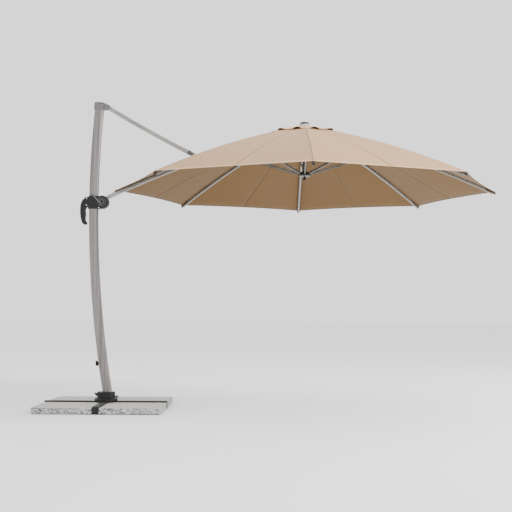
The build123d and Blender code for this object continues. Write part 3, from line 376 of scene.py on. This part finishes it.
# The stretched cloth stands a little off the rib tips, most at the front.
HEM_RISE, FRONT_RISE = 0.005, 0.007
SAG, HEM_SAG = 0.011, 0.004
GORE_ROWS, GORE_COLUMNS, HEM_WIDTH = 62, 18, 0.05
# Distance in from the hem's edge and rise of the cloth there: step, stitching and turned edge.
HEM_PROFILE = ((0.0285, 0), (0.0255, 0.0007), (0.024, 0.0002), (0.0225, 0.0011), (0.008, 0.0012),
               (0.0025, 0.0007), (0, -0.0004))
HEM_BAND_ROWS = 4
# Sideways steps of the mesh across the seam that lies on the rib.
SEAM_STEPS = (0, 0.0012, 0.0024, 0.0045, 0.0062, 0.0075, 0.010, 0.016, 0.03)
VENT_ROWS, VENT_COLUMNS = 26, 33
VENT_HEM = (0.012, 0.010, 0.009, 0.002, 0)
# Radius and height over the canopy arc of each row of the binding.
BINDING_COLUMNS = 17
BINDING_ROWS = ((VENT_R - 0.02, 0.0002), (VENT_R - 0.05, 0.001), (0.16, 0.002), (0.13, 0.001))
# Distance in from the hem's corner, half width and depth of each section of the corner pocket.
POCKET_ROWS = ((0.082, 0.014, 0.029), (0.06, 0.017, 0.029), (0.025, 0.020, 0.028), (0.005, 0.021, 0.020),
               (-0.004, 0.016, 0.011))
POCKET_SECTION = ((-1, 0), (-0.85, -0.4), (-0.6, -0.85), (0, -1), (0.6, -0.85), (0.85, -0.4), (1, 0))


def arc_z(r):
    return ARC_Z + math.sqrt(ARC_RADIUS ** 2 - (r - ARC_R) ** 2)


def smooth(t):
    t = min(1, max(0, t))
    return t * t * (3 - 2 * t)


def bow(v):
    """0 on the rib and 1 half way to the next one, level there."""
    return 1 - (1 - abs(v)) ** 2


def panel_point(r, v):
    """Plan of the rib-centred gore at azimuth 0: r along it, v from -1 to 1 between its panels' middles."""
    side = -1 if v < 0 else 1
    middle = Vector((math.cos(HALF), side * math.sin(HALF))) * (r * math.cos(HALF))
    return Vector((r, 0)).lerp(middle, abs(v))


def turned_to(point, azimuth):
    turn = math.radians(azimuth)
    x = point.x * math.cos(turn) - point.y * math.sin(turn)
    y = point.x * math.sin(turn) + point.y * math.cos(turn)
    return Vector((x, y, point.z))


def placed(point, azimuth):
    """A point given from the canopy's axis at azimuth 0, put at its azimuth in the row frame."""
    return turned_to(point, azimuth) + Vector((CANOPY_X, 0, 0))


def object_of(mesh, *materials):
    mesh.polygons.foreach_set("use_smooth", [True] * len(mesh.polygons))
    for material in materials:
        mesh.materials.append(material)
    obj = bpy.data.objects.new(mesh.name, mesh)
    bpy.context.scene.collection.objects.link(obj)
    return obj


def new_object(name, verts, faces, *materials):
    mesh = bpy.data.meshes.new(name)
    mesh.from_pydata([tuple(v) for v in verts], [], faces)
    return object_of(mesh, *materials)


def grid_faces(rows, columns):
    return [(i * columns + j, (i + 1) * columns + j, (i + 1) * columns + j + 1, i * columns + j + 1)
            for i in range(rows - 1) for j in range(columns - 1)]


def set_uvs(obj, uvs):
    layer = obj.data.uv_layers.new(name="cloth")
    for loop in obj.data.loops:
        layer.data[loop.index].uv = uvs[loop.vertex_index]


def thicken(obj, thickness, offset=-1, material_offset=0):
    solid = obj.modifiers.new("thickness", "SOLIDIFY")
    solid.thickness = thickness
    solid.offset = offset
    solid.material_offset = material_offset


def apply_modifiers(obj):
    bpy.context.view_layer.update()
    graph = bpy.context.evaluated_depsgraph_get()
    mesh = bpy.data.meshes.new_from_object(obj.evaluated_get(graph))
    mesh.name = obj.name
    obj.modifiers.clear()
    obj.data = mesh


def ripple(x, y):
    """Slight waves of the stretched cloth, the same on both sides of a seam."""
    wide = noise.noise(Vector((x * 3.1, y * 3.1, 0.4)))
    fine = noise.noise(Vector((x * 9.0, y * 9.0, 4.2)))
    return 0.0022 * wide + 0.0007 * fine


def cloth_height(r, v, azimuth):
    """Height of the top cloth: the canopy arc, less its sag between two ribs."""
    along = (r - OPENING_R) / (HEM_R - OPENING_R)
    sag = bow(v) * (SAG * math.sin(math.pi * min(1, along * 0.92)) ** 0.8 + HEM_SAG * smooth(along))
    spot = placed(Vector((*panel_point(r, v), 0)), azimuth)
    free = smooth((1 - abs(along * 2 - 1)) * 4) * smooth(abs(v) * 6)
    raised = smooth(along) * (HEM_RISE + FRONT_RISE * max(0, -spot.y / HEM_R))
    return arc_z(r) - sag + raised + ripple(spot.x, spot.y) * free


def welt(lateral, half_width=0.007, height=0.0011):
    """Raised flat-felled seam along the rib, with a narrow groove where its two panels meet."""
    d = abs(lateral)
    if d > half_width:
        return 0
    return height * smooth((half_width - d) / 0.0025) - 0.0009 * smooth(1 - d / 0.0016)


def half_width_at(r):
    return r * math.cos(HALF) * math.sin(HALF)


def gore_columns(r, half):
    """Sideways fractions of a half gore at r, rising: close at the seam, then even to its far edge."""
    near = [d / half_width_at(r) for d in SEAM_STEPS]
    far = [near[-1] + (1 - near[-1]) * i / GORE_COLUMNS for i in range(1, GORE_COLUMNS + 1)]
    return sorted(half * v for v in near + far)


def gore_station(kind, value, v):
    """How far out a row's point lies: the even rows bend to the scalloped edge, which the hem's follow."""
    edge = HEM_R - HEM_DIP * bow(v)
    if kind == "hem":
        return edge - value
    along = (value - OPENING_R) / (HEM_R - OPENING_R)
    return OPENING_R + (value - OPENING_R) * (1 - (HEM_R - edge) / (HEM_R - OPENING_R) * smooth(along))


def panel_side_light(azimuth):
    """Brightness of the panel whose middle is at that azimuth: painted light, brightest on the panels turned
    towards the key light.
    """
    return 0.95 + 0.05 * math.cos(math.radians(azimuth - 340))


# Material slots of a gore.
TOP_SLOT, UNDERSIDE_SHADE_SLOT, HEM_SLOT, HEM_SHADE_SLOT = 0, 1, 2, 3


def build_gore(direction, azimuth, half, materials):
    """The top cloth on one side of a rib, hemmed at its scalloped edge; half is -1 or 1."""
    steps = [OPENING_R + (HEM_R - OPENING_R) * i / GORE_ROWS for i in range(GORE_ROWS + 1)]
    stations = [("r", r, 0) for r in steps if r < HEM_R - HEM_WIDTH]
    stations += [("hem", *step) for step in HEM_PROFILE]
    verts, uvs, seams = [], [], []
    for kind, value, rise in stations:
        columns = gore_columns(value if kind == "r" else HEM_R, half)
        for v in columns:
            r = gore_station(kind, value, v)
            flat = panel_point(r, v)
            z = cloth_height(r, v, azimuth) + welt(flat.y) * smooth((HEM_R + 0.02 - r) / 0.03) + rise
            verts.append(placed(Vector((flat.x, flat.y, z)), azimuth))
            seams.append(smooth((0.0045 - abs(flat.y)) / 0.002))
            # Threads run along and across the panel between two ribs, so its UVs are turned by half a panel.
            uvs.append((-half * flat.x * math.sin(HALF) + flat.y * math.cos(HALF),
                        flat.x * math.cos(HALF) + half * flat.y * math.sin(HALF)))
    count = len(columns)
    faces, kinds = [], []
    for i in range(len(stations) - 1):
        for j in range(count - 1):
            a = i * count + j
            middle = (verts[a] + verts[a + count + 1]) / 2
            in_slot = abs(middle.x - SLOT_X) < SLOT_HALF_LENGTH and abs(middle.y) < SLOT_HALF_WIDTH
            if direction == "L" and in_slot:
                continue
            faces.append((a, a + count, a + count + 1, a + 1))
            kinds.append(HEM_SLOT if i >= len(stations) - 1 - HEM_BAND_ROWS else TOP_SLOT)
    obj = new_object(f"canopy_gore_{direction}_{'right' if half < 0 else 'left'}", verts, faces, *materials)
    obj.data.polygons.foreach_set("material_index", kinds)
    set_uvs(obj, uvs)
    # Painted light: the panel's brightness is set by which way it faces the key light.
    painted_side_light = panel_side_light(azimuth + math.degrees(half * HALF))
    for name, values in (("seam", seams), ("painted_side_light", [painted_side_light] * len(verts))):
        obj.data.attributes.new(name, "FLOAT", "POINT").data.foreach_set("value", values)
    thicken(obj, CLOTH, material_offset=1)
    apply_modifiers(obj)
    # The thickened mesh lists the top's faces, then the underside's, then the rims.
    # Painted shade: the underside's last row, along the hem's edge, takes the dark brown as a shade line.
    hem_shade_from = 2 * len(faces) - 2 * (count - 1)
    # Faces on the underside take the darker underside cloth, a painted shade.
    for index, polygon in enumerate(obj.data.polygons):
        if polygon.normal.z < UNDERSIDE:
            polygon.material_index = HEM_SHADE_SLOT if hem_shade_from <= index < 2 * len(faces) else UNDERSIDE_SHADE_SLOT
        elif polygon.material_index == UNDERSIDE_SHADE_SLOT:
            polygon.material_index = TOP_SLOT
    return obj


def build_vent_petal(direction, azimuth, cloth, shaded_underside):
    """The vent's piece over one rib: tacked down at even places round its rim, which lifts between them."""
    stations = [CAP_R + (VENT_R - CAP_R) * i / VENT_ROWS for i in range(VENT_ROWS)]
    stations += [VENT_R - d for d in VENT_HEM]
    verts, uvs = [], []
    for n, r in enumerate(stations):
        rim = smooth((r - 0.2) / (VENT_R - 0.2))
        hem_lift = 0.0008 if n >= len(stations) - 3 else 0
        for j in range(VENT_COLUMNS):
            v = -1 + 2 * j / (VENT_COLUMNS - 1)
            flat = panel_point(r, v)
            heading = math.degrees(math.atan2(flat.y, flat.x)) + azimuth
            gap = max(0, 0.15 - math.cos(math.radians(GAPS * (heading - FRONT)))) ** 0.6
            reach = r - 0.004 * bow(v) * rim
            flat = panel_point(reach, v)
            z = arc_z(reach) + 0.0050 - 0.0025 * rim + GAP_LIFT * gap * rim + hem_lift
            z += welt(flat.y, 0.005, 0.001) if r > 0.06 else 0
            verts.append(placed(Vector((flat.x, flat.y, z)), azimuth))
            uvs.append((flat.y + (0 if v < 0 else 3), flat.x))
    faces = grid_faces(len(stations), VENT_COLUMNS)
    obj = new_object(f"vent_petal_{direction}", verts, faces, cloth, shaded_underside)
    set_uvs(obj, uvs)
    thicken(obj, CLOTH)
    apply_modifiers(obj)
    # Faces on the underside take the darker underside cloth, a painted shade.
    for polygon in obj.data.polygons:
        polygon.material_index = 1 if polygon.normal.z < UNDERSIDE else 0
    return obj


def build_vent_net(direction, azimuth, material):
    """Binding round the opening under the vent, seen through the gaps beneath the petals; its orange is
    painted light, the glow of light shining through the shaded cloth there.
    """
    verts = []
    for r, rise in BINDING_ROWS:
        for j in range(BINDING_COLUMNS):
            v = -1 + 2 * j / (BINDING_COLUMNS - 1)
            flat = panel_point(r, v)
            verts.append(placed(Vector((flat.x, flat.y, arc_z(r) + rise * bow(v) + 0.0008)), azimuth))
    faces = grid_faces(len(BINDING_ROWS), BINDING_COLUMNS)
    obj = new_object(f"vent_binding_painted_glow_{direction}", verts, faces, material)
    thicken(obj, 0.0009, offset=0)
    apply_modifiers(obj)
    return obj


def build_pocket(direction, azimuth, material):
    """Sewn pocket under the hem's corner that the rib's tip sits in."""
    verts = []
    for inset, half_width, depth in POCKET_ROWS:
        r = HEM_R - inset
        for side, down in POCKET_SECTION:
            y = side * half_width
            z = cloth_height(r, abs(y) / half_width_at(r), azimuth) - CLOTH - 0.0005 + down * depth
            verts.append(placed(Vector((r, y, z)), azimuth))
    rows, n = len(POCKET_ROWS), len(POCKET_SECTION)
    faces = [(i * n + j, i * n + j + 1, (i + 1) * n + j + 1, (i + 1) * n + j)
             for i in range(rows - 1) for j in range(n - 1)]
    faces.append(tuple((rows - 1) * n + j for j in range(n)))
    obj = new_object(f"corner_pocket_{direction}", verts, faces, material)
    thicken(obj, 0.0014, offset=0)
    rounding = obj.modifiers.new("soft", "SUBSURF")
    rounding.levels = rounding.render_levels = 1
    apply_modifiers(obj)
    return obj


# ---------------------------------------------------------------- paving slabs
SLAB_STEP, SLAB_EDGE = 0.0048, 0.0032


def slab_grid(low, high):
    """The slab's box as one closed mesh of small squares."""
    bm = bmesh.new()
    counts = [max(2, round((high[k] - low[k]) / SLAB_STEP)) for k in range(3)]
    for axis in range(3):
        u, v = [k for k in range(3) if k != axis]
        for end in (low[axis], high[axis]):
            grid = []
            for i in range(counts[u] + 1):
                row = []
                for j in range(counts[v] + 1):
                    place = [0.0, 0.0, 0.0]
                    place[axis] = end
                    place[u] = low[u] + (high[u] - low[u]) * i / counts[u]
                    place[v] = low[v] + (high[v] - low[v]) * j / counts[v]
                    row.append(bm.verts.new(place))
                grid.append(row)
            for i in range(counts[u]):
                for j in range(counts[v]):
                    quad = (grid[i][j], grid[i + 1][j], grid[i + 1][j + 1], grid[i][j + 1])
                    bm.faces.new(quad)
    bmesh.ops.remove_doubles(bm, verts=bm.verts, dist=1e-5)
    bmesh.ops.recalc_face_normals(bm, faces=bm.faces)
    return bm


def build_slab(name, material):
    """Paving slab with washed-out pebbles on every face and worn, uneven edges."""
    low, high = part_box(name)
    bm = slab_grid(low, high)
    for vert in bm.verts:
        core = Vector([min(max(vert.co[k], low[k] + SLAB_EDGE), high[k] - SLAB_EDGE) for k in range(3)])
        normal = (vert.co - core).normalized()
        near_edge = sum(abs(normal[k]) > 0.2 for k in range(3)) > 1
        pebble = 1 - min(1, noise.voronoi(core * PEBBLES)[0][0] * 1.7)
        flank = 1 if abs(normal.z) < 0.9 else 0.35
        chip = noise.noise(vert.co * 38) * (0.0016 if near_edge else 0.0004)
        vert.co = core + normal * (SLAB_EDGE - 0.0016 + 0.0015 * pebble * flank + chip)
    mesh = bpy.data.meshes.new(name + "_cast")
    bm.to_mesh(mesh)
    bm.free()
    obj = object_of(mesh, material)
    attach(obj, "base")
    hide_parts(name)


# ---------------------------------------------------------------- materials
ALONG_MAST = (1, 1, 0.015)
ALONG_ARM = (0.03, 1, 0.5)
# The centre post is metal down to the knob under the runner, at any distance from the axis.
NOWHERE, KNOB_TOP = 10, 2.0085
SEAM_TONE = (0.25, 0.165, 0.1)
mast_alu = aluminium("mast_aluminium", (0.21, 0.197, 0.192), ALONG_MAST)
arm_alu = aluminium("arm_aluminium", (0.30, 0.285, 0.27), ALONG_ARM)
head_metal = aluminium("head_cap_metal", (0.17, 0.164, 0.170), (1, 1, 1))
post_finish = rib_finish("post_finish", (0.12, 0.118, 0.115), (0.008, 0.008, 0.009), NOWHERE, KNOB_TOP)
fork_metal = aluminium("fork_metal", (0.10, 0.10, 0.105), (0.3, 0.3, 0.3))
brace_alu = aluminium("brace_aluminium", (0.24, 0.235, 0.22), (0.2, 0.2, 0.2))
dark_plastic = plastic("dark_plastic", (0.008, 0.008, 0.008))
slider_plastic = plastic("slider_plastic", (0.006, 0.006, 0.007), 0.4)
lever_plastic = plastic("lever_plastic", (0.075, 0.075, 0.082), 0.36)
black_plastic = plastic("black_plastic", (0.012, 0.012, 0.014), 0.3)
grey_plastic = plastic("grey_plastic", (0.40, 0.39, 0.38), 0.45)
base_steel = coated_steel("anthracite_steel", (0.016, 0.014, 0.013))
zinc_steel = zinc("zinc_steel")
stone = aggregate("aggregate_concrete")
rib_metal = rib_finish("rib_metal", (0.30, 0.295, 0.28), (0.02, 0.018, 0.017), HEM_R - 0.016)
cloth_top = canvas("canopy_cloth", (0.54, 0.325, 0.15), (0.63, 0.385, 0.19), 0.2, SEAM_TONE)
# Painted shade: the underside is a darker, more saturated copy of the top cloth, standing in for the shade
# under the canopy and the light glowing through it.
cloth_under = canvas("canopy_underside_painted_shade", (0.15, 0.076, 0.014), (0.175, 0.091, 0.019), 0.2)
cloth_hem = canvas("canopy_hem", (0.60, 0.385, 0.21), (0.70, 0.46, 0.265), 0.08, SEAM_TONE)
# Dark brown for the corner pockets, and painted shade on the underside along the hem's edge.
cloth_brown = canvas("brown_pocket_and_hem_shade", (0.06, 0.032, 0.016), (0.09, 0.05, 0.026), 0.05)
# Painted light: orange that stands in for light glowing through the shaded cloth seen in the vent's gaps.
cloth_shade = canvas("vent_binding_painted_glow", (0.55, 0.26, 0.05), (0.62, 0.30, 0.07), 0.1)
cloth_vent = canvas("vent_cloth", (0.56, 0.345, 0.165), (0.65, 0.41, 0.21), 0.15)

FINISHES = {
    "strut": arm_alu, "arm": arm_alu, "arm_root": arm_alu, "centre_post": post_finish,
    "mast_head": head_metal, "head_pin": head_metal, "strut_fork": fork_metal, "arm_bracket": base_steel,
    "clamp_lever": lever_plastic,
    "slider_shell_front": slider_plastic, "slider_shell_back": slider_plastic, "handle": slider_plastic,
}
BY_SLOT = {
    "anodised_aluminium": mast_alu, "steel": zinc_steel, "coated_steel": base_steel, "rib_metal": rib_metal,
    "dark_plastic": dark_plastic, "black_plastic": black_plastic, "grey_plastic": grey_plastic,
    "slab_stone": stone, "canopy_fabric": cloth_top,
}


def paint_cad_nodes():
    """Each node takes its own finish where it has one, and its material slot's otherwise."""
    slots = {part["node"]: part["material_slot"] for part in frame["record"]["subparts"]}
    for name, obj in frame["nodes"].items():
        finish = brace_alu if name.startswith("brace_") else FINISHES.get(name, BY_SLOT[slots[name]])
        if not obj.data.materials:
            obj.data.materials.append(finish)
        for index in range(len(obj.data.materials)):
            obj.data.materials[index] = finish


def build_canopy():
    """Cloth over each rib, carried by it, and over the arm on the mast's side."""
    for direction, azimuth in DIRECTIONS.items():
        body = "arm" if direction == "L" else f"rib_{direction}"
        halves = [build_gore(direction, azimuth, half, (cloth_top, cloth_under, cloth_hem, cloth_brown))
                  for half in (-1, 1)]
        petal = build_vent_petal(direction, azimuth, cloth_vent, cloth_under)
        binding = build_vent_net(direction, azimuth, cloth_shade)
        pocket = build_pocket(direction, azimuth, cloth_brown)
        for piece in (*halves, petal, binding, pocket):
            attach(piece, body)
        for piece, half in zip(halves, (-1, 1)):
            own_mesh(piece)
        for piece in (petal, binding):
            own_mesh(piece)
        for piece, sewn_on in zip(halves, ([binding], [pocket])):
            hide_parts(f"gore_{direction}")


LATHE_SEGMENTS = 64
SHARP_EDGE = math.radians(38)


def lathe(name, profile, centre, axis, material_runs, *materials):
    """Turned piece: profile rows of (radius, distance along axis), with a material index for each band."""
    segments = LATHE_SEGMENTS
    turn = Vector((0, 0, 1)).rotation_difference(Vector(axis))
    verts, faces, kinds = [], [], []
    for radius, along in profile:
        for k in range(segments):
            angle = 2 * math.pi * k / segments
            spot = Vector((radius * math.cos(angle), radius * math.sin(angle), along))
            verts.append(Vector(centre) + turn @ spot)
    for i in range(len(profile) - 1):
        for k in range(segments):
            a, b = i * segments + k, i * segments + (k + 1) % segments
            faces.append((a, b, b + segments, a + segments))
            kinds.append(material_runs[i])
    faces.append(tuple(range(segments - 1, -1, -1)))
    kinds.append(material_runs[0])
    faces.append(tuple((len(profile) - 1) * segments + k for k in range(segments)))
    kinds.append(material_runs[-1])
    obj = new_object(name, verts, faces, *materials)
    obj.data.polygons.foreach_set("material_index", kinds)
    edge = obj.modifiers.new("edge", "EDGE_SPLIT")
    edge.split_angle = SHARP_EDGE
    apply_modifiers(obj)
    return obj


# The cap sits this far below the finial's place in the frame, down on the vent.
FINIAL_SINK = 0.008
# Radius and height of each row: the skirt, then the cap with the groove on its crown.
FINIAL_PROFILE = ((0.018, -0.001), (0.050, 0), (0.0525, 0.0008), (0.053, 0.003), (0.0515, 0.0055),
                  (0.0455, 0.0125), (0.0425, 0.0150), (0.0425, 0.0158), (0.0405, 0.0165), (0.0405, 0.0185),
                  (0.0412, 0.0200), (0.0412, 0.0260), (0.0400, 0.0292), (0.0375, 0.0318), (0.0330, 0.0340),
                  (0.0240, 0.0356), (0.0215, 0.0357), (0.0205, 0.0352), (0.0150, 0.0356), (0.0080, 0.0360))
FINIAL_RUNS = (0,) * 7 + (1,) * 14


def build_finial():
    """Black cap on a light sloping skirt, over the vent."""
    low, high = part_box("finial")
    base, top = low.z - FINIAL_SINK, high.z - FINIAL_SINK
    profile = [(radius, base + rise) for radius, rise in FINIAL_PROFILE] + [(0.0012, top - 0.0012)]
    obj = lathe("finial_cap", profile, (CANOPY_X, 0, 0), (0, 0, 1), FINIAL_RUNS, grey_plastic, black_plastic)
    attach(obj, "crown")
    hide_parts("finial")


# Distance of the slider's cheek from the middle plane, and the trim's profile out from it.
TRIM_FACE = 0.0411
TRIM_PROFILE = ((0.047, -0.001), (0.047, 0.0008), (0.0455, 0.0022), (0.0395, 0.0022), (0.0385, 0.0012),
                (0.0345, 0.0012), (0.0335, 0.0020), (0.0240, 0.0020), (0.0230, 0.0008), (0.0160, 0.0008),
                (0.0152, 0.0024), (0.0030, 0.0028))
TRIM_RUNS = (0, 0, 0, 1, 1, 0, 0, 1, 1, 0, 0)
# In front the clamp lever lies on the trim, which is flat under it.
LEVER_REACH, UNDER_LEVER = 0.039, 0.0003


def build_hinge_trims():
    """Stepped round cover with a centre cap on each side of the slider's hinge."""
    pin_low, pin_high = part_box("arm_hinge_pin")
    centre = (pin_low + pin_high) / 2
    for name, side in (("hinge_trim_front", -1), ("hinge_trim_back", 1)):
        profile = []
        for radius, rise in TRIM_PROFILE:
            under_lever = side < 0 and radius < LEVER_REACH
            profile.append((radius, TRIM_FACE + (min(rise, UNDER_LEVER) if under_lever else rise)))
        place = (centre.x, 0, centre.z)
        obj = lathe(name, profile, place, (0, side, 0), TRIM_RUNS, slider_plastic, lever_plastic)
        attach(obj, "slider")


make_camera()
make_stage()
paint_cad_nodes()
for slab in ("slab_front_left", "slab_front_right", "slab_back_left", "slab_back_right"):
    build_slab(slab, stone)
build_canopy()
build_finial()
build_hinge_trims()
